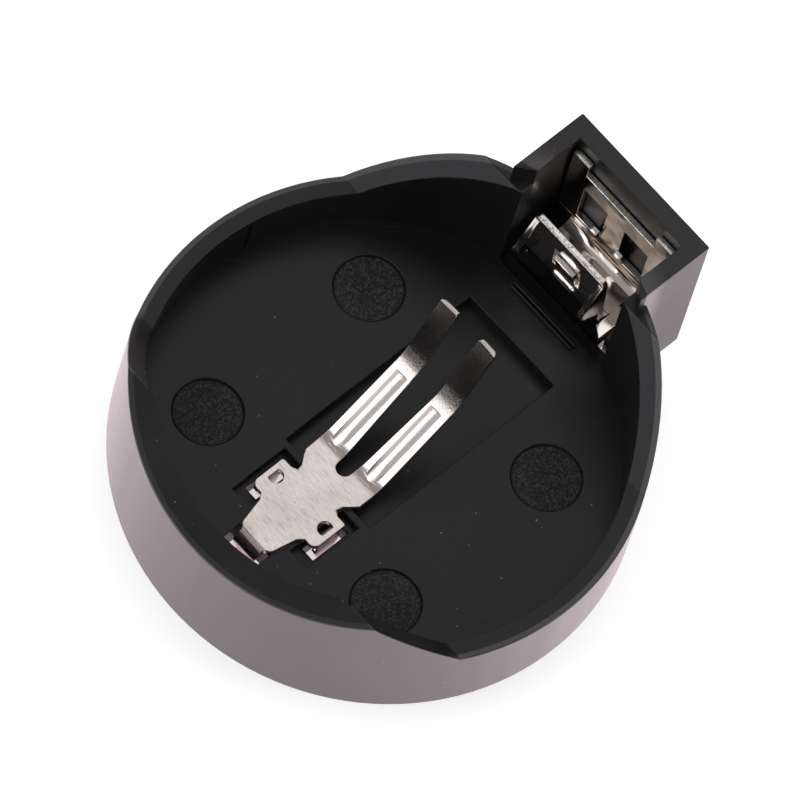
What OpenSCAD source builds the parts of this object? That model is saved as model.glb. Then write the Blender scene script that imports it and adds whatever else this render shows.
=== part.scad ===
// Through-hole holder for one round coin cell.
// The origin is on the axis of the round well, in the plane of the board.
// +X points to the nose that carries the positive contact, +Z is up.

/* [Housing] */
// Outer diameter of the round housing
body_d = 27; // [25:0.1:30]
// Thickness of the round outer wall, which leaves a well for a 24.5 mm cell
wall = 1.05; // [0.9:0.05:1.4]
// Thickness of the coin cell
cell_h = 5.0; // [4.6:0.1:5.4]
// Thickness of the floor under the cell
floor_t = 1.7; // [1.5:0.1:2.2]
// Height of the rim beside the nose
rim_h = 9.3; // [8.8:0.1:10]
// Height of the low rim at the two thumb notches
notch_h = 4.8; // [4.2:0.1:5.6]
// Height of the rim at the far end, on its outer edge
far_h = 7.6; // [7.3:0.1:8.2]
// Rise of the far rim towards the notches, in degrees
far_slope = 18; // [10:1:24]
// Steepness of the ramps beside the notches, in degrees
ramp_slope = 45; // [40:1:55]
// Distance from the well axis to the front end of the notch
notch_front = 7.3; // [6.6:0.1:8]
// Distance from the well axis to the back end of the notch
notch_back = 5.9; // [5.2:0.1:6.4]
// How far the far lip reaches in over the cell
lip_reach = 0.4; // [0.2:0.05:0.6]

/* [Nose] */
// Width of the nose
nose_w = 9.5; // [9:0.1:10.5]
// How far the nose stands out of the round wall
nose_out = 3.1; // [2.8:0.1:4]
// Height of the nose
nose_h = 10.9; // [10.4:0.1:11.6]
// Thickness of the side walls of the nose
nose_side = 0.95; // [0.8:0.05:1.1]
// Thickness of the front wall of the nose
nose_front = 1.05; // [0.9:0.05:1.3]
// Thickness of the floor inside the nose
nose_floor = 1.0; // [0.8:0.1:1.3]

/* [Floor details] */
// Half width of the trough under the spring fingers
trough_half_w = 3.15; // [3:0.05:3.4]
// Depth of the trough under the spring fingers
trough_depth = 0.8; // [0.5:0.05:1]
// Distance from the well axis to the front end of the trough
trough_front = 9.2; // [8.8:0.1:9.6]
// Diameter of the ejector marks in the floor
mark_d = 3.7; // [3:0.1:4.2]
// Depth of the ejector marks
mark_depth = 0.1; // [0.05:0.05:0.2]
// Distance of the ejector marks from the well axis along X
mark_x = 5.5; // [5:0.1:6]
// Distance of the ejector marks from the well axis along Y
mark_y = 6.7; // [6.2:0.1:7.2]

/* [Negative contact] */
// Thickness of the sheet of the negative contact
neg_t = 0.3; // [0.25:0.05:0.4]
// Half width of the base across the two shoulders
neg_half_w = 2.05; // [1.95:0.05:2.15]
// How far the side tabs reach from the middle
tab_reach = 2.35; // [2.25:0.05:2.5]
// Distance from the well axis to the roots of the fingers
finger_root = 2.4; // [2.2:0.1:2.6]
// Slope of the lower part of the fingers, in degrees
finger_low_slope = 36; // [33:1:38]
// Slope of the upper part of the fingers, in degrees
finger_high_slope = 63; // [58:1:66]
// Length of the lower part of the fingers
finger_low_len = 4.8; // [4.4:0.1:5.1]
// Length of the upper part of the fingers
finger_high_len = 4.15; // [3.7:0.05:4.3]
// Width of the bead along a finger
bead_w = 0.8; // [0.6:0.05:0.9]
// Height of the bead along a finger
bead_h = 0.1; // [0.06:0.02:0.14]
// Width of a finger at its tip
tip_w = 1.15; // [1:0.05:1.3]
// Width of the slot between the fingers at their roots
slot_w = 0.9; // [0.8:0.05:1]

/* [Positive contact] */
// Thickness of the sheet of the positive contact
pos_t = 0.35; // [0.3:0.05:0.4]
// Height of the ears of the upright plate
ear_h = 10.0; // [9.7:0.1:10.3]
// Height of the middle edge of the upright plate
plate_h = 9.05; // [8.8:0.05:9.3]
// Half width of the spring plate
spring_half_w = 2.55; // [2.4:0.05:2.7]
// Height of the top edge of the spring plate
spring_h = 9.05; // [8.8:0.05:9.3]
// How far the top edge of the spring plate stands inside the wall of the well
spring_in = 0.75; // [0.55:0.05:0.9]
// Lean of the spring plate towards the cell, in degrees
spring_lean = 6; // [3:1:9]
// How far the wings stand out of the spring plate towards the cell
wing_out = 1.1; // [0.9:0.05:1.2]
// Height of the front corner of the wings
wing_h = 6.5; // [6.2:0.1:6.8]
// Height of the bridge between the two plates
bridge_h = 3.9; // [3.7:0.1:4.1]
// How far the side tabs of the bridge reach from the middle
bridge_tab = 3.25; // [3:0.05:3.35]

/* [Solder tails] */
// Distance from the well axis to the tail of the negative contact
neg_tail_x = 8.95; // [8.8:0.05:9.4]
// How far the solder tails reach below the board face
tail_len = 3.0; // [2.5:0.1:4]
// Width of the solder tails
tail_w = 0.9; // [0.7:0.05:1.1]
// Gap between a solder tail and its hole in the floor
tail_gap = 0.2; // [0.15:0.05:0.3]

/* [Hidden] */
round_fn = 96;
small_fn = 32;
over = 1;

// A sheet is drawn in side view as a path of [x, z, heading] states, and every
// step of it is [straight length, bend radius, bend angle].
bend_steps = 6;
function straight(s, len) = [s[0] + len * cos(s[2]), s[1] + len * sin(s[2]), s[2]];
function bend(s, r, a) =
    [for (k = [1:bend_steps]) let (h = s[2] + a * k / bend_steps, side = sign(a) * r)
        [s[0] + side * (sin(h) - sin(s[2])), s[1] + side * (cos(s[2]) - cos(h)), h]];
function path(s, steps, i = 0) =
    i == len(steps) ? [s] :
    let (e = straight(s, steps[i][0]))
    steps[i][2] == 0 ? concat([s], path(e, steps, i + 1)) :
    let (b = bend(e, steps[i][1], steps[i][2]))
    concat([s, e], [for (k = [0:bend_steps - 2]) b[k]], path(b[bend_steps - 1], steps, i + 1));
function left_of(s, d) = [s[0] - d * sin(s[2]), s[1] + d * cos(s[2])];

// Strip of sheet that follows a path, between two distances to the left of it
module strip(states, right, left, width) {
    last = len(states) - 1;
    rotate([90, 0, 0])
        linear_extrude(width, center = true)
            polygon(concat(
                [for (s = states) left_of(s, left)],
                [for (i = [last:-1:0]) left_of(states[i], -right)]));
}

// Block from one corner to the opposite one
module block(low, high) {
    translate(low) cube(high - low);
}

// The same shape on both sides of the middle plane
module both_sides() {
    children();
    mirror([0, 1, 0]) children();
}

// --- Housing -------------------------------------------------------------

outer_r = body_d / 2;
well_r = outer_r - wall;
nose_x = outer_r + nose_out;
nose_half_w = nose_w / 2;
pocket_x = nose_x - nose_front;
pocket_half_w = nose_half_w - nose_side;
throat_x = sqrt(well_r * well_r - pocket_half_w * pocket_half_w);
throat_flare = 0.8;
pocket_start = throat_x - 0.05;
pocket_step = 0.8;
peak_x = (far_h - notch_h + outer_r * tan(far_slope) + notch_back * tan(ramp_slope))
    / (tan(far_slope) + tan(ramp_slope));
peak_h = notch_h + (peak_x - notch_back) * tan(ramp_slope);
lip_h = floor_t + cell_h + 0.3;

// Side view of all that lies below the top of the rim
module rim_profile() {
    front_top = notch_front + (rim_h - notch_h) / tan(ramp_slope);
    far_end_h = far_h - over * tan(far_slope);
    rotate([90, 0, 0])
        linear_extrude(3 * outer_r, center = true)
            polygon([
                [-outer_r - over, -over], [nose_x + over, -over], [nose_x + over, rim_h],
                [front_top, rim_h], [notch_front, notch_h], [-notch_back, notch_h],
                [-peak_x, peak_h], [-outer_r - over, far_end_h]]);
}

module ring() {
    intersection() {
        rim_profile();
        difference() {
            cylinder(h = nose_h, r = outer_r, $fn = round_fn);
            translate([0, 0, floor_t]) cylinder(h = nose_h, r = well_r, $fn = round_fn);
        }
    }
}

// Lip inside the far rim, under which the cell is slid
module far_lip() {
    intersection() {
        rim_profile();
        block([-outer_r, -outer_r, lip_h], [-peak_x, outer_r, nose_h]);
        difference() {
            cylinder(h = nose_h, r = well_r + wall / 2, $fn = round_fn);
            cylinder(h = nose_h, r = well_r - lip_reach, $fn = round_fn);
        }
    }
}

module nose_block() {
    linear_extrude(nose_h)
        polygon([
            [throat_x, nose_half_w], [nose_x, nose_half_w],
            [nose_x, -nose_half_w], [throat_x, -nose_half_w],
            [throat_x + throat_flare, -pocket_half_w], [throat_x + throat_flare, pocket_half_w]]);
}

// Pocket for the positive contact, with a step down behind the throat
module nose_pocket() {
    block([pocket_start, -pocket_half_w, (nose_floor + floor_t) / 2], [pocket_x, pocket_half_w, nose_h + over]);
    block([pocket_start + pocket_step, -pocket_half_w, nose_floor], [pocket_x, pocket_half_w, nose_h]);
}

rib_half_w = 2.3;
rib_w = 0.15;
rib_gap = 0.1;
rib_back = 0.3;
rib_h = 0.25;

// Two low ribs across the floor, just before it drops into the nose
module floor_ribs() {
    for (back = [rib_back, rib_back + rib_w + rib_gap])
        block([pocket_start - back - rib_w, -rib_half_w, floor_t - over / 4],
            [pocket_start - back, rib_half_w, floor_t + rib_h]);
}

relief_back = 1.8;
relief_front = 2.1;
relief_depth = 0.12;
relief_top = 0.4;

// Shallow relief in the inner face of one thumb notch
module wall_relief() {
    intersection() {
        cylinder(h = notch_h - relief_top, r = well_r + relief_depth, $fn = round_fn);
        block([-relief_back, well_r / 2, floor_t], [relief_front, outer_r, notch_h]);
    }
}

module trough() {
    block([-base_front, -trough_half_w, floor_t - trough_depth], [trough_front, trough_half_w, floor_t + over]);
}

module ejector_marks() {
    for (sx = [-1, 1], sy = [-1, 1])
        translate([sx * mark_x, sy * mark_y, floor_t - mark_depth])
            cylinder(h = over, d = mark_d, $fn = small_fn);
}

// Recess and through slot for one side tab of the negative contact
module tab_pocket() {
    block([-tab_back - 0.85, base_half_w + 0.1, floor_t - recess_depth], [-tab_front + 0.55, tab_reach + 0.45, floor_t + over]);
    block([-tab_back - 0.1, tab_reach - neg_t - 0.3, -over], [-tab_front + 0.1, tab_reach + 0.2, floor_t]);
}

module negative_tail_hole() {
    block([-neg_tail_x - 1.0, -neck_half_w - 0.3, -over], [-neg_tail_x + 0.55, neck_half_w + 0.3, floor_t + over]);
}

module positive_tail_hole() {
    block([pos_tail_x - tail_w / 2 - tail_gap, -bridge_tab - tail_gap, -over],
        [pos_tail_x + tail_w / 2 + tail_gap, -bridge_tab + pos_t + tail_gap, floor_t + over]);
}

module housing() {
    color([0.1, 0.1, 0.11])
    difference() {
        union() {
            ring();
            far_lip();
            difference() {
                nose_block();
                translate([0, 0, floor_t]) cylinder(h = nose_h, r = well_r, $fn = round_fn);
            }
            floor_ribs();
        }
        nose_pocket();
        trough();
        ejector_marks();
        both_sides() tab_pocket();
        wall_relief();
        negative_tail_hole();
        positive_tail_hole();
    }
}

// --- Negative contact ------------------------------------------------------

base_half_w = 1.45;
neck_half_w = 0.8;
base_back = 8.4;
base_front = 3.4;
tab_back = 6.5;
tab_front = 4.35;
recess_depth = 0.5;
tab_notch_x = 5.3;
tab_notch_r = 0.4;
tab_notch_y = 1.85;
neg_bend_r = 0.5;
root_bend_r = 2;
knee_bend_r = 1.2;
neg_mid_h = floor_t + neg_t / 2;
sheet_reach = nose_h + tail_len;

neg_path = path([-neg_tail_x, -tail_len, 90], [
    [tail_len + neg_mid_h - neg_bend_r, neg_bend_r, -90],
    [neg_tail_x - neg_bend_r - finger_root, root_bend_r, finger_low_slope],
    [finger_low_len, knee_bend_r, finger_high_slope - finger_low_slope],
    [finger_high_len, 0, 0]]);
tip_x = neg_path[len(neg_path) - 1][0];

// Plan of one half of the sheet, from the tail to the tip of a finger
module negative_half_plan() {
    polygon([
        [-neg_tail_x - neg_t, 0], [-neg_tail_x - neg_t, neck_half_w],
        [-base_back - 0.2, neck_half_w], [-base_back + 0.1, 1.1],
        [-tab_back - 0.3, base_half_w - 0.05], [-tab_back, base_half_w + 0.2],
        [-tab_back, tab_reach - 0.25], [-tab_back + 0.25, tab_reach],
        [-tab_front, tab_reach], [-tab_front, base_half_w + 0.3],
        [-tab_front + 0.2, base_half_w + 0.05], [-tab_front + 0.5, base_half_w + 0.05],
        [-base_front, neg_half_w - 0.2], [-base_front + 0.2, neg_half_w],
        [-finger_root - 0.3, neg_half_w],
        [tip_x - 0.1, neg_half_w - 0.05], [tip_x + neg_t, neg_half_w - 0.3],
        [tip_x + neg_t, 0]]);
}

// Plan of the slot between the fingers, which widens towards the tips
module finger_slot() {
    tip_gap = neg_half_w - tip_w;
    slot_start = -finger_root + 0.1;
    translate([slot_start, 0]) circle(d = slot_w, $fn = small_fn);
    polygon([
        [slot_start, -slot_w / 2], [tip_x + over, -tip_gap],
        [tip_x + over, tip_gap], [slot_start, slot_w / 2]]);
}

// Round-ended relief notch in the outer edge of a side tab, above the leg
module tab_notch() {
    mouth = tab_notch_r * 0.8;
    translate([-tab_notch_x, tab_notch_y]) circle(r = tab_notch_r, $fn = small_fn);
    polygon([
        [-tab_notch_x - mouth, tab_notch_y], [-tab_notch_x + mouth, tab_notch_y],
        [-tab_notch_x + mouth, tab_reach + over], [-tab_notch_x - mouth, tab_reach + over]]);
}

module negative_plan() {
    linear_extrude(sheet_reach)
        difference() {
            both_sides() negative_half_plan();
            finger_slot();
            both_sides() tab_notch();
        }
}

// Front view of the tail, a broad neck that narrows to the solder pin
module negative_tail_view() {
    neck_h = neg_mid_h - neg_bend_r;
    translate([-base_back - 0.1, 0, 0])
        rotate([90, 0, -90])
            linear_extrude(neg_tail_x - base_back + over)
                polygon([
                    [-neck_half_w, floor_t + neg_t + over], [neck_half_w, floor_t + neg_t + over],
                    [neck_half_w, neck_h], [tail_w / 2, neck_h - neck_half_w + tail_w / 2],
                    [tail_w / 2, -tail_len + 0.4], [tail_w / 4, -tail_len - over],
                    [-tail_w / 4, -tail_len - over], [-tail_w / 2, -tail_len + 0.4],
                    [-tail_w / 2, neck_h - neck_half_w + tail_w / 2], [-neck_half_w, neck_h]]);
}

// Leg that is folded down from a side tab, with two barbs on each edge
module barbed_leg() {
    mid = (tab_back + tab_front) / 2;
    half = (tab_back - tab_front) / 2 - 0.35;
    barb = 0.18;
    leg_h = 0.2;
    translate([-mid, tab_reach, 0])
        rotate([90, 0, 0])
            linear_extrude(neg_t)
                polygon([
                    [-half, floor_t + neg_t], [-half, 1.3], [-half - barb, 1.2], [-half, 0.8],
                    [-half + barb, leg_h], [half - barb, leg_h],
                    [half, 0.8], [half + barb, 1.2], [half, 1.3], [half, floor_t + neg_t]]);
}

// Round rod from one point of a side view to the next
module rod(from, to, r) {
    translate([from[0], 0, from[1]])
        rotate([0, 90 - atan2(to[1] - from[1], to[0] - from[0]), 0])
            cylinder(h = norm([to[0] - from[0], to[1] - from[1]]), r = r, $fn = small_fn);
}

bead_r = (bead_w * bead_w / 4 + bead_h * bead_h) / (2 * bead_h);
bead_sink = bead_r - bead_h - neg_t / 2;
bead_y = 1.27;

// Crowned bead that is pressed up along the lower part of one finger and fades out at its root
module finger_bead() {
    line = path([-finger_root, neg_mid_h, 0], [
        [0, root_bend_r, finger_low_slope], [finger_low_len, 0, 0]]);
    root_end = line[len(line) - 2];
    translate([0, bead_y, 0])
        intersection() {
            strip(line, 0, neg_t / 2 + bead_h + over / 4, bead_w + over);
            rod(left_of(straight(root_end, -over), -bead_sink), left_of(straight(root_end, finger_low_len - bead_w / 2), -bead_sink), bead_r);
        }
}

module negative_contact() {
    color([0.8, 0.79, 0.76]) {
        intersection() {
            strip(neg_path, neg_t / 2, neg_t / 2, 2 * tab_reach);
            union() {
                block([-base_back - 0.1, -tab_reach, 0], [tip_x + over, tab_reach, sheet_reach]);
                negative_tail_view();
            }
            union() {
                translate([0, 0, neg_mid_h - tail_len]) negative_plan();
                block([-neg_tail_x - over, -neck_half_w, -tail_len - over], [-base_back, neck_half_w, neg_mid_h + over]);
            }
        }
        both_sides() barbed_leg();
        both_sides() finger_bead();
    }
}

// --- Positive contact ------------------------------------------------------

plate_gap = 0.05;
plate_x = pocket_x - plate_gap - pos_t / 2;
plate_half_w = pocket_half_w - 0.15;
plate_bend_r = 0.9;
spring_bend_r = 0.7;
ear_w = 1.15;
spring_x = well_r - spring_in;
spring_mid_x = spring_x + pos_t / 2;
bridge_back = plate_x - plate_bend_r;
spring_foot_h = bridge_h + spring_bend_r * (1 - sin(spring_lean));
spring_len = (spring_h - spring_foot_h) / cos(spring_lean);
bridge_front = spring_mid_x + spring_len * sin(spring_lean) + spring_bend_r * cos(spring_lean);
bridge_tab_front = bridge_front - 0.9;
bridge_tab_back = bridge_front + 0.75;
pos_tail_x = bridge_tab_back - tail_w / 2;

pos_path = path([plate_x, ear_h, -90], [
    [ear_h - bridge_h - plate_bend_r, plate_bend_r, -90],
    [bridge_back - bridge_front, spring_bend_r, spring_lean - 90],
    [spring_len, 0, 0]]);

window_low = bridge_h + plate_bend_r;
window_high = plate_h - 1.3;
window_w = 1.7;
window_y = 1.5;

// Front view of the upright plate, with an ear at each side of its top edge
module plate_view() {
    difference() {
        polygon([
            [-plate_half_w, window_low - 0.3], [plate_half_w, window_low - 0.3],
            [plate_half_w, ear_h], [plate_half_w - ear_w, ear_h], [plate_half_w - ear_w, plate_h],
            [ear_w - plate_half_w, plate_h], [ear_w - plate_half_w, ear_h], [-plate_half_w, ear_h]]);
        for (side = [-1, 1])
            translate([side * window_y, (window_low + window_high) / 2])
                square([window_w, window_high - window_low], center = true);
    }
}

spring_window = 1.9;
spring_window_low = spring_h - 3.35;

// Front view of the spring plate, with its window
module spring_view() {
    difference() {
        polygon([
            [-spring_half_w, 0], [spring_half_w, 0],
            [spring_half_w, spring_h - 0.2], [spring_half_w - 0.2, spring_h],
            [0.2 - spring_half_w, spring_h], [-spring_half_w, spring_h - 0.2]]);
        translate([0, spring_window_low + spring_window / 2]) square(spring_window, center = true);
    }
}

// Turns a front view into a block that runs along X between two distances
module front_block(from_x, to_x) {
    translate([from_x, 0, 0])
        rotate([90, 0, 90])
            linear_extrude(to_x - from_x)
                children();
}

// Side view cut out of sheet that stands along X, at one distance from the middle
module side_sheet(y_outer, t) {
    translate([0, y_outer, 0]) rotate([90, 0, 0]) linear_extrude(t) children();
}

// Wing that is folded forward from the side of the spring plate
module wing() {
    root_x = spring_mid_x + 0.1;
    side_sheet(spring_half_w, pos_t)
        polygon([
            [root_x, spring_h - 0.35], [root_x - 0.25, spring_h - 0.35],
            [spring_x - wing_out + 0.1, wing_h + 0.25], [spring_x - wing_out + 0.15, wing_h - 0.25],
            [root_x + 0.3, bridge_h + 1.3]]);
}

// Flat tab at the side of the bridge, with a slanted front end
module bridge_side_tab() {
    translate([0, 0, bridge_h - pos_t / 2])
        linear_extrude(pos_t)
            polygon([
                [bridge_front + 0.05, spring_half_w - 0.3], [bridge_tab_back, spring_half_w - 0.3],
                [bridge_tab_back, bridge_tab], [bridge_tab_front - 0.45, bridge_tab],
                [bridge_tab_front, spring_half_w + 0.05], [bridge_front + 0.05, spring_half_w + 0.05]]);
}

// Solder tail that is folded down from the side tab
module positive_tail() {
    side_sheet(pos_t - bridge_tab, pos_t)
        polygon([
            [pos_tail_x - tail_w / 2, bridge_h], [pos_tail_x + tail_w / 2, bridge_h],
            [pos_tail_x + tail_w / 2, 0.4 - tail_len], [pos_tail_x + tail_w / 4, -tail_len],
            [pos_tail_x - tail_w / 4, -tail_len], [pos_tail_x - tail_w / 2, 0.4 - tail_len]]);
}

barb_w = 0.45;
barb_len = 1.1;
barb_lean = 25;
tongue_w = 1.4;
tongue_len = 1.55;
tongue_lean = 16;

// Tongue that is lanced out of a window and leans towards the cell
module tongue(x, low, w, len, lean) {
    translate([x, 0, low])
        rotate([0, -lean, 0])
            block([-pos_t / 2, -w / 2, -0.1], [pos_t / 2, w / 2, len]);
}

// Oblong dimple pressed into the spring plate
module spring_dimple() {
    dimple_h = bridge_h + 1.0;
    dimple_r = 0.3;
    x = spring_x + (spring_h - dimple_h) * tan(spring_lean) + 0.1;
    translate([x, 0, dimple_h]) rotate([90, 0, 0]) cylinder(h = 1.1, r = dimple_r, center = true, $fn = small_fn);
    for (side = [-1, 1])
        translate([x, side * 0.55, dimple_h]) sphere(r = dimple_r, $fn = small_fn);
}

module positive_contact() {
    color([0.82, 0.81, 0.78]) {
        intersection() {
            strip(pos_path, pos_t / 2, pos_t / 2, 2 * plate_half_w);
            union() {
                front_block(plate_x - plate_bend_r / 2, plate_x + over) plate_view();
                block([bridge_back - 0.1, -spring_half_w, 0], [plate_x + over, spring_half_w, window_low]);
                front_block(spring_x - over, bridge_back) spring_view();
            }
        }
        both_sides() wing();
        both_sides() bridge_side_tab();
        positive_tail();
        both_sides()
            translate([0, window_y - window_w / 2 + barb_w / 2, 0])
                tongue(plate_x, window_low, barb_w, barb_len, barb_lean);
        tongue(spring_mid_x + (spring_h - spring_window_low) * tan(spring_lean), spring_window_low,
            tongue_w, tongue_len, tongue_lean);
        spring_dimple();
    }
}

housing();
negative_contact();
positive_contact();
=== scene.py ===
import math

import bmesh
import bpy
from mathutils import Matrix, Vector


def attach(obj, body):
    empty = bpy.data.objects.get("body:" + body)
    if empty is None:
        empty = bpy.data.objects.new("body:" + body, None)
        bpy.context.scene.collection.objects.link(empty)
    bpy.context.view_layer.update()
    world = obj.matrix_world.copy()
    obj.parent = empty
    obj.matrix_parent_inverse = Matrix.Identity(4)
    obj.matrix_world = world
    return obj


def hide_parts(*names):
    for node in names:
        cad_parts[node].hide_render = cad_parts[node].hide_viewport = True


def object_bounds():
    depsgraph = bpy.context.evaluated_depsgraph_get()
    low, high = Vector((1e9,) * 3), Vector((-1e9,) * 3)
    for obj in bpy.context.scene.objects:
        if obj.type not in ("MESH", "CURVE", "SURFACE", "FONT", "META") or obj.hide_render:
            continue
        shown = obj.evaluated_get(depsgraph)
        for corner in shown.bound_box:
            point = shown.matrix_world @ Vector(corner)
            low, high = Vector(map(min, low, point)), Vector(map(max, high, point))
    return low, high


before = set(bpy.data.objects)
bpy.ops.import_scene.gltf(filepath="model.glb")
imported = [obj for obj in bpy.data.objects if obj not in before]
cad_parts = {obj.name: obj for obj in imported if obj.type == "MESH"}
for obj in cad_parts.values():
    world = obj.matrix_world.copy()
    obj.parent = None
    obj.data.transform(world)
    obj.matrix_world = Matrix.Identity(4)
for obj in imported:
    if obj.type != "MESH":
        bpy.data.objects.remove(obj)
cad_low, cad_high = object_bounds()
mm = 0.001


# --- Housing ---------------------------------------------------------------
# The round well, its ramped rim and the nose are one moulding of black nylon.
# It has a satin skin, small radii on its edges, and sparked ejector marks on its floor.

housing_edge = 0.07 * mm
mark_place = (5.5 * mm, 6.7 * mm)
mark_radius = 1.8 * mm
mark_heights = (1.2 * mm, 2.0 * mm)
skin_gloss_from, skin_gloss_to = 13.2 * mm, 13.6 * mm
gloss_fade = 1 * mm
fibre_x, fibre_y = (12.1 * mm, 14.2 * mm), 4.1 * mm
fibre_edge = (0.03 * mm, 0.02 * mm)
fibre_sway, fibre_turns = 0.2 * mm, 3300.0
nose_top_from = 10.7 * mm

housing_black = (0.0084, 0.0083, 0.0094)
spark_grey = (0.06, 0.06, 0.063, 1)
scratch_grey = (0.06, 0.06, 0.062, 1)
dust_grey = (0.16, 0.15, 0.14, 1)
fibre_red = (0.11, 0.008, 0.016, 1)


def sharp_edges(bm, angle, shortest=0.0, longest=1.0):
    """Outer corners of a mesh that turn by more than an angle, within a range of lengths."""
    return [e for e in bm.edges if e.is_manifold and e.is_convex
            and e.calc_face_angle() > math.radians(angle)
            and shortest <= e.calc_length() <= longest]


def round_edges(bm, edges, radius, segments):
    """Small radius on edges."""
    bmesh.ops.bevel(bm, geom=edges, offset=radius, offset_type="OFFSET", segments=segments,
                    profile=0.5, affect="EDGES", material=-1, clamp_overlap=False)


def merged_copy(node_name):
    """Copy of a CAD node as one skin with plain flat faces."""
    bm = bmesh.new()
    bm.from_mesh(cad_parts[node_name].data)
    bmesh.ops.remove_doubles(bm, verts=bm.verts, dist=1e-6)
    bmesh.ops.dissolve_limit(bm, angle_limit=math.radians(0.6), verts=bm.verts, edges=bm.edges)
    return bm


def new_object(bm, name, material):
    """Turns a bmesh into an object of one material."""
    mesh = bpy.data.meshes.new(name)
    bm.to_mesh(mesh)
    bm.free()
    made = bpy.data.objects.new(name, mesh)
    made.data.materials.append(material)
    bpy.context.scene.collection.objects.link(made)
    return made


def finished_piece(bm, name, material, cad_node, smooth_angle):
    """Turns a bmesh into the piece that stands for a CAD node."""
    for face in bm.faces:
        face.smooth = True
    for edge in bm.edges:
        edge.smooth = edge.is_manifold and edge.calc_face_angle() < math.radians(smooth_angle)
    piece = new_object(bm, name, material)
    flat = piece.modifiers.new("flat_faces", "WEIGHTED_NORMAL")
    flat.weight, flat.thresh, flat.keep_sharp = 100, 0.0, True
    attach(piece, "root")
    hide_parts(cad_node)


def add_node(tree, kind, values=None, **settings):
    """New shader node with its settings, values and links."""
    made = tree.nodes.new(kind)
    for key, value in settings.items():
        setattr(made, key, value)
    for socket, value in (values or {}).items():
        if isinstance(value, bpy.types.NodeSocket):
            tree.links.new(value, made.inputs[socket])
        else:
            made.inputs[socket].default_value = value
    return made


def calculate(tree, operation, a, b=0.0):
    """One step of arithmetic on masks or values."""
    return add_node(tree, "ShaderNodeMath", {0: a, 1: b}, operation=operation).outputs[0]


def product(tree, value, *factors):
    """A mask or value multiplied by others."""
    for factor in factors:
        value = calculate(tree, "MULTIPLY", value, factor)
    return value


def total(tree, value, *terms):
    """A mask or value with others added to it."""
    for term in terms:
        value = calculate(tree, "ADD", value, term)
    return value


def between(tree, value, low, high):
    """Mask that is 1 where a value lies between two others."""
    return product(tree, calculate(tree, "GREATER_THAN", value, low),
                   calculate(tree, "LESS_THAN", value, high))


def ramp(tree, value, low, high, to_low=0.0, to_high=1.0):
    """A value carried from one range to another, and held at its ends."""
    return add_node(tree, "ShaderNodeMapRange", {"Value": value, "From Min": low, "From Max": high,
                                                 "To Min": to_low, "To Max": to_high}).outputs["Result"]


def blend_colour(tree, share, a, b):
    """Colour a with a share of colour b over it."""
    mixed = add_node(tree, "ShaderNodeMix", {"Factor": share, "A": a, "B": b}, data_type="RGBA")
    return mixed.outputs["Result"]


def noise(tree, where, scale, detail, roughness=0.5):
    """Soft cloudy values, mostly between 0.3 and 0.7."""
    return add_node(tree, "ShaderNodeTexNoise", {"Vector": where, "Scale": scale, "Detail": detail,
                                                 "Roughness": roughness}).outputs[0]


def turned(tree, where, angle):
    """Coordinates turned about the Z axis."""
    return add_node(tree, "ShaderNodeMapping", {"Vector": where, "Rotation": (0, 0, angle)}).outputs[0]


def parts_of(tree, vector):
    """X, Y and Z of a vector."""
    return add_node(tree, "ShaderNodeSeparateXYZ", {0: vector}).outputs


def flat_distance(tree, x, y):
    """Distance from an upright axis, out of the offsets along X and Y."""
    flat = add_node(tree, "ShaderNodeCombineXYZ", {0: x, 1: y}).outputs[0]
    return add_node(tree, "ShaderNodeVectorMath", {0: flat}, operation="LENGTH").outputs["Value"]


def new_material(name):
    """Material with its node tree, its shader and the object's own coordinates."""
    material = bpy.data.materials.new(name)
    material.use_nodes = True
    tree = material.node_tree
    where = tree.nodes.new("ShaderNodeTexCoord").outputs["Object"]
    return material, tree, tree.nodes["Principled BSDF"], where


def raise_surface(tree, shader, height, distance, strength):
    """Bump whose relief is a height times a distance."""
    bump = add_node(tree, "ShaderNodeBump",
                    {"Height": height, "Distance": distance, "Strength": strength})
    tree.links.new(bump.outputs[0], shader.inputs["Normal"])


def new_group(name, sizes, output):
    """Empty node group that takes coordinates and some sizes, and gives one value."""
    group = bpy.data.node_groups.new(name, "ShaderNodeTree")
    group.interface.new_socket("Vector", in_out="INPUT", socket_type="NodeSocketVector")
    for size_name, value in sizes.items():
        size = group.interface.new_socket(size_name, in_out="INPUT", socket_type="NodeSocketFloat")
        size.default_value = value
    group.interface.new_socket(output, in_out="OUTPUT", socket_type="NodeSocketFloat")
    given = group.nodes.new("NodeGroupInput").outputs
    return group, given, group.nodes.new("NodeGroupOutput").inputs[output]


def use_group(tree, group, **values):
    """The one output of a node group, with its inputs filled in."""
    return add_node(tree, "ShaderNodeGroup", values, node_tree=group).outputs[0]


# Dust: a few small specks scattered over the surface
dust_group, given, speck_mask = new_group("dust_specks", {"Spacing": 0.9 * mm, "Size": 0.06}, "Mask")
fineness = calculate(dust_group, "DIVIDE", 1.0, given["Spacing"])
cells = add_node(dust_group, "ShaderNodeTexVoronoi", {"Vector": given["Vector"], "Scale": fineness}).outputs
chance = add_node(dust_group, "ShaderNodeSeparateColor", {"Color": cells["Color"]}).outputs[0]
speck_size = product(dust_group, given["Size"], calculate(dust_group, "POWER", chance, 2.0))
dust_group.links.new(calculate(dust_group, "LESS_THAN", cells["Distance"], speck_size), speck_mask)

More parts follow.
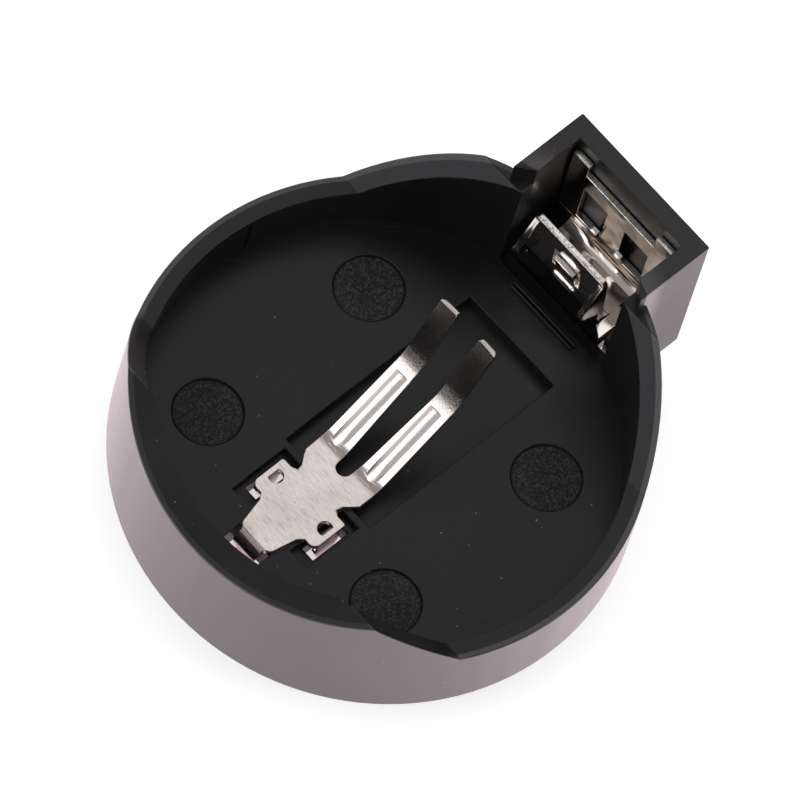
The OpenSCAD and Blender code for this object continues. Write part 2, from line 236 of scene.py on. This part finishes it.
# Scratches: long thin streaks that run along the X axis of the vector
scratch_group, given, streak_mask = new_group("fine_scratches", {"Width": 0.06 * mm, "Share": 0.1}, "Mask")
drawn_out = add_node(scratch_group, "ShaderNodeVectorMath",
                     {0: given["Vector"], 1: (0.03, 1.0, 1.0)}, operation="MULTIPLY").outputs[0]
fineness = calculate(scratch_group, "DIVIDE", 1.0, given["Width"])
streaks = noise(scratch_group, drawn_out, fineness, detail=1.0)
cut = calculate(scratch_group, "SUBTRACT", 0.78, product(scratch_group, given["Share"], 0.4))
full_cut = calculate(scratch_group, "ADD", cut, 0.05)
scratch_group.links.new(ramp(scratch_group, streaks, cut, full_cut), streak_mask)

# Grain: the fine unevenness of a skin that was moulded or rolled
grain_group, given, grain_height = new_group("fine_grain", {"Size": 0.1 * mm}, "Height")
fineness = calculate(grain_group, "DIVIDE", 1.0, given["Size"])
unevenness = noise(grain_group, given["Vector"], fineness, detail=3.0, roughness=0.6)
grain_group.links.new(unevenness, grain_height)

nylon, tree, shader, where = new_material("black_nylon")
shader.inputs["Specular IOR Level"].default_value = 0.35
shader.inputs["Specular Tint"].default_value = (0.97, 0.95, 1.0, 1)
shader.inputs["Coat Roughness"].default_value = 0.18
x, y, z = parts_of(tree, where)
cloud = noise(tree, where, scale=160.0, detail=4.0)
skin = use_group(tree, grain_group, Vector=where, Size=0.12 * mm)
spark = use_group(tree, grain_group, Vector=where, Size=0.13 * mm)
dust = use_group(tree, dust_group, Vector=where, Spacing=0.7 * mm, Size=0.085)
scratch = use_group(tree, scratch_group, Vector=turned(tree, where, 0.7), Width=0.09 * mm, Share=0.12)

# Four ejector marks, in the same place in each quarter of the floor
from_mark = flat_distance(tree, calculate(tree, "SUBTRACT", calculate(tree, "ABSOLUTE", x), mark_place[0]),
                          calculate(tree, "SUBTRACT", calculate(tree, "ABSOLUTE", y), mark_place[1]))
in_mark = product(tree, ramp(tree, from_mark, mark_radius * 1.02, mark_radius * 0.97),
                  between(tree, z, *mark_heights))

# The round outer wall is glossier than the rest, and the gloss fades over the nose
from_axis = flat_distance(tree, x, y)
outer_gloss = product(tree, calculate(tree, "GREATER_THAN", from_axis, skin_gloss_from),
                      ramp(tree, from_axis, skin_gloss_to, skin_gloss_to + gloss_fade, 1.0, 0.25),
                      ramp(tree, cloud, 0.3, 0.7, 0.85, 1.0))
tree.links.new(outer_gloss, shader.inputs["Coat Weight"])

# A loose red fibre lies in a wave on the top of the nose
wave = calculate(tree, "SINE", product(tree, calculate(tree, "SUBTRACT", x, fibre_x[0]), fibre_turns))
beside = calculate(tree, "SUBTRACT", y, fibre_y)
off_fibre = calculate(tree, "SUBTRACT", beside, product(tree, wave, fibre_sway))
on_fibre = product(tree, ramp(tree, calculate(tree, "ABSOLUTE", off_fibre), *fibre_edge),
                   calculate(tree, "GREATER_THAN", z, nose_top_from), between(tree, x, *fibre_x))

plain = add_node(tree, "ShaderNodeVectorMath", {0: housing_black, 1: ramp(tree, cloud, 0.3, 0.7, 0.7, 1.4)},
                 operation="MULTIPLY").outputs[0]
sparked = blend_colour(tree, product(tree, in_mark, ramp(tree, spark, 0.45, 0.7)), plain, spark_grey)
scratched = blend_colour(tree, product(tree, scratch, 0.35), sparked, scratch_grey)
dusty = blend_colour(tree, dust, scratched, dust_grey)
tree.links.new(blend_colour(tree, on_fibre, dusty, fibre_red), shader.inputs["Base Color"])

rough = total(tree, ramp(tree, cloud, 0.25, 0.75, 0.30, 0.40),
              product(tree, in_mark, 0.2), product(tree, scratch, 0.1))
tree.links.new(rough, shader.inputs["Roughness"])
height = total(tree, product(tree, skin, 0.12), product(tree, spark, in_mark, 3.0),
               product(tree, scratch, -0.15))
raise_surface(tree, shader, height, distance=0.06 * mm, strength=0.8)

bm = merged_copy("housing")
round_edges(bm, sharp_edges(bm, angle=25, shortest=0.1 * mm), housing_edge, segments=3)
finished_piece(bm, "housing_moulding", nylon, "housing", smooth_angle=32)


# --- Negative contact ------------------------------------------------------
# Two spring fingers, a base with side tabs and a solder tail, stamped from one nickel-plated strip.
# The strip is rolled satin. Its lines show on the base, and the fingers are worn at their knees.

contact_edge = 0.035 * mm
corner_radius = 0.12 * mm
corner_lengths = (0.2 * mm, 0.34 * mm)
tip_radius = 0.11 * mm
tips_from = 9 * mm
above_base, beads_from = 2.05 * mm, 2.1 * mm
knee_height = 5.5 * mm
bead_cuts = (-0.9 * mm, -0.3 * mm, 0.6 * mm, 1.4 * mm)
out_of_reach = 20 * mm
worn_band = (0.1 * mm, 0.8 * mm)

satin_colour = (0.70, 0.635, 0.605, 1)
torn_dark, torn_bright = (0.34, 0.27, 0.21, 1), (1.0, 0.96, 0.89, 1)
metal_dust = (0.25, 0.23, 0.21, 1)


def darker_colour(colour, red, green, blue):
    """Colour with a share of its red, green and blue left."""
    return colour[0] * red, colour[1] * green, colour[2] * blue, 1


def nickel(name, colour, roughness, lined_below, worn_at, sheared_above, waves, painted_shade_beyond):
    """Plated sheet with a little tarnish. Rolling lines lie below one height, wear lies round another, and
    edges above a third show torn metal. Upright faces beyond an X get painted shade, a darker colour that
    stands in for a dark reflection, and waves swell the sheet."""
    material, tree, shader, where = new_material(name)
    shader.inputs["Metallic"].default_value = 1.0
    x, _, z = parts_of(tree, where)
    facing_up = parts_of(tree, tree.nodes.new("ShaderNodeNewGeometry").outputs["True Normal"])[2]
    cloud = noise(tree, where, scale=420.0, detail=5.0)
    swell = noise(tree, where, scale=650.0, detail=1.0)
    grain = use_group(tree, grain_group, Vector=where, Size=0.06 * mm)
    torn = use_group(tree, grain_group, Vector=where, Size=0.1 * mm)
    dust = use_group(tree, dust_group, Vector=where, Spacing=0.9 * mm, Size=0.05)
    lines = use_group(tree, scratch_group, Vector=turned(tree, where, math.pi / 2),
                      Width=0.025 * mm, Share=0.45)

    lines = product(tree, lines, calculate(tree, "LESS_THAN", z, lined_below))
    sheared = product(tree, calculate(tree, "GREATER_THAN", z, sheared_above),
                      calculate(tree, "GREATER_THAN", facing_up, 0.8))
    upright = calculate(tree, "LESS_THAN", calculate(tree, "ABSOLUTE", facing_up), 0.3)
    # Painted shade: upright faces beyond an X along X take about half their colour, in place of a dark
    # reflection
    painted_shade_part = product(tree, calculate(tree, "GREATER_THAN", x, painted_shade_beyond), upright)
    off_band = calculate(tree, "ABSOLUTE", calculate(tree, "SUBTRACT", z, worn_at))
    worn = product(tree, ramp(tree, off_band, *worn_band, 1.0, 0.0), ramp(tree, torn, 0.35, 0.6))

    tarnished = darker_colour(colour, 0.80, 0.77, 0.74)
    plated = blend_colour(tree, ramp(tree, cloud, 0.4, 0.75, 0.0, 0.5), colour, tarnished)
    plated = blend_colour(tree, painted_shade_part, plated, darker_colour(colour, 0.5, 0.48, 0.44))
    broken = blend_colour(tree, ramp(tree, torn, 0.38, 0.47), torn_dark, torn_bright)
    plated = blend_colour(tree, sheared, plated, broken)
    tree.links.new(blend_colour(tree, dust, plated, metal_dust), shader.inputs["Base Color"])

    rough = total(tree, ramp(tree, cloud, 0.3, 0.7, roughness * 0.8, roughness * 1.25),
                  product(tree, sheared, 0.2), product(tree, worn, 0.3), product(tree, lines, 0.08))
    tree.links.new(rough, shader.inputs["Roughness"])
    height = total(tree, product(tree, lines, 0.3), product(tree, grain, 0.25),
                   product(tree, swell, waves), product(tree, worn, 1.5))
    raise_surface(tree, shader, height, distance=0.01 * mm, strength=0.6)
    return material


bm = merged_copy("negative_contact")
round_edges(bm, sharp_edges(bm, 25, *corner_lengths), corner_radius, segments=3)
tips = [e for e in sharp_edges(bm, angle=25, shortest=0.5 * mm)
        if min(v.co.z for v in e.verts) > tips_from]
round_edges(bm, tips, tip_radius, segments=4)
round_edges(bm, sharp_edges(bm, angle=25, shortest=0.03 * mm), contact_edge, segments=2)
# Cuts across the beads keep their shading even from root to knee
for cut_x in bead_cuts:
    raised = [f for f in bm.faces if f.calc_center_median().z > beads_from]
    bmesh.ops.bisect_plane(bm, geom=raised + list({e for f in raised for e in f.edges})
                           + list({v for f in raised for v in f.verts}),
                           dist=1e-7, plane_co=(cut_x, 0, 0), plane_no=(1, 0, 0))
satin_nickel = nickel("satin_nickel", satin_colour, roughness=0.2, lined_below=above_base,
                      worn_at=knee_height, sheared_above=9.5 * mm, waves=1.2, painted_shade_beyond=out_of_reach)
finished_piece(bm, "negative_spring", satin_nickel, "negative_contact", smooth_angle=20)


# --- Positive contact ------------------------------------------------------
# A folded clip of the same plated strip: the upright plate, the bridge and the spring plate.
# It is pressed into the nose, and its plating is bright.

bright_colour = (0.86, 0.80, 0.76, 1)

bm = merged_copy("positive_contact")
round_edges(bm, sharp_edges(bm, angle=25, shortest=0.05 * mm), contact_edge, segments=2)
# Upright faces of the clip beyond 14 mm along X get painted shade
bright_nickel = nickel("bright_nickel", bright_colour, roughness=0.11, lined_below=0.0, worn_at=0.0,
                       sheared_above=8.6 * mm, waves=10.0, painted_shade_beyond=14 * mm)
finished_piece(bm, "positive_clip", bright_nickel, "positive_contact", smooth_angle=25)


# --- Studio ----------------------------------------------------------------
# A pale floor under the tips of the solder tails, soft lamps, and a long lens.
# The floor and the world look white to the camera, and the floor looks a little mauve in gloss.

floor_level = cad_low[2] - 0.01 * mm
floor_size = 2.5
paper_white, gloss_mauve = (0.82, 0.82, 0.82, 1), (1.0, 0.76, 0.84, 1)
floor_glow = 0.62
sky_low, sky_high, sky_soft = 1.0, 0.34, 0.55
lamps_aim = Vector((0, 0, 4 * mm))

bm = bmesh.new()
bmesh.ops.create_grid(bm, x_segments=1, y_segments=1, size=floor_size)
bmesh.ops.translate(bm, vec=(0, 0, floor_level), verts=bm.verts)
paper = bpy.data.materials.new("white_paper")
paper.use_nodes = True
tree = paper.node_tree
tree.nodes.remove(tree.nodes["Principled BSDF"])
path = tree.nodes.new("ShaderNodeLightPath").outputs
seen = calculate(tree, "MAXIMUM", path["Is Camera Ray"], path["Is Glossy Ray"])
seen = calculate(tree, "MAXIMUM", seen, path["Is Transmission Ray"])
matt = add_node(tree, "ShaderNodeBsdfDiffuse", {"Color": paper_white})
glow = add_node(tree, "ShaderNodeEmission", {
    "Color": blend_colour(tree, path["Is Glossy Ray"], (1, 1, 1, 1), gloss_mauve),
    "Strength": product(tree, seen, floor_glow)})
both = add_node(tree, "ShaderNodeAddShader", {0: matt.outputs[0], 1: glow.outputs[0]})
tree.links.new(both.outputs[0], tree.nodes["Material Output"].inputs["Surface"])
floor = new_object(bm, "studio_floor", paper)

world = bpy.data.worlds.new("studio")
bpy.context.scene.world = world
world.use_nodes = True
tree = world.node_tree
up = parts_of(tree, tree.nodes.new("ShaderNodeTexCoord").outputs["Generated"])[2]
path = tree.nodes.new("ShaderNodeLightPath").outputs
in_gloss = product(tree, ramp(tree, up, 0.2, 0.9, sky_low, sky_high), path["Is Glossy Ray"])
elsewhere = product(tree, calculate(tree, "SUBTRACT", 1.0, path["Is Glossy Ray"]), sky_soft)
strength = calculate(tree, "MAXIMUM", calculate(tree, "ADD", in_gloss, elsewhere), path["Is Camera Ray"])
tree.links.new(strength, tree.nodes["Background"].inputs["Strength"])
tree.nodes["Background"].inputs["Color"].default_value = (1, 1, 1, 1)


def direction(azimuth, elevation):
    """Unit vector towards an azimuth, from +X towards +Y, and an elevation, in degrees."""
    a, e = math.radians(azimuth), math.radians(elevation)
    return Vector((math.cos(a) * math.cos(e), math.sin(a) * math.cos(e), math.sin(e)))


def softbox(name, azimuth, elevation, distance, size, brightness):
    """Square soft lamp that faces the well."""
    away = direction(azimuth, elevation)
    lamp = bpy.data.lights.new(name, "AREA")
    lamp.shape = "SQUARE"
    lamp.size = size
    lamp.energy = brightness * math.pi * size * size
    thing = bpy.data.objects.new(name, lamp)
    thing.location = away * distance + lamps_aim
    thing.rotation_euler = away.to_track_quat("Z", "Y").to_euler()
    bpy.context.scene.collection.objects.link(thing)


softbox("key_lamp", azimuth=161, elevation=41, distance=0.45, size=0.22, brightness=2.1)
softbox("fill_lamp", azimuth=-68, elevation=32, distance=0.5, size=0.14, brightness=5.0)
softbox("top_lamp", azimuth=31, elevation=64, distance=0.5, size=0.2, brightness=0.72)

view_azimuth, view_elevation, view_roll = -148.63, 63.95, 18.19
aim = Vector((1.585, 0.533, 4.0)) * mm
stand_off = 1.08

lens = bpy.data.cameras.new("camera")
lens.lens = 971.2
lens.sensor_width = 36
lens.clip_start, lens.clip_end = 0.01, 10
camera = bpy.data.objects.new("camera", lens)
away = direction(view_azimuth, view_elevation)
right = (-away).cross(Vector((0, 0, 1))).normalized()
above = right.cross(-away)
roll = math.radians(view_roll)
turned_right = right * math.cos(roll) + above * math.sin(roll)
turned_above = above * math.cos(roll) - right * math.sin(roll)
camera.matrix_world = Matrix.Translation(aim + away * stand_off) @ Matrix(
    (turned_right, turned_above, away)).transposed().to_4x4()
bpy.context.scene.collection.objects.link(camera)
bpy.context.scene.camera = camera
bpy.context.scene.view_settings.view_transform = "Standard"
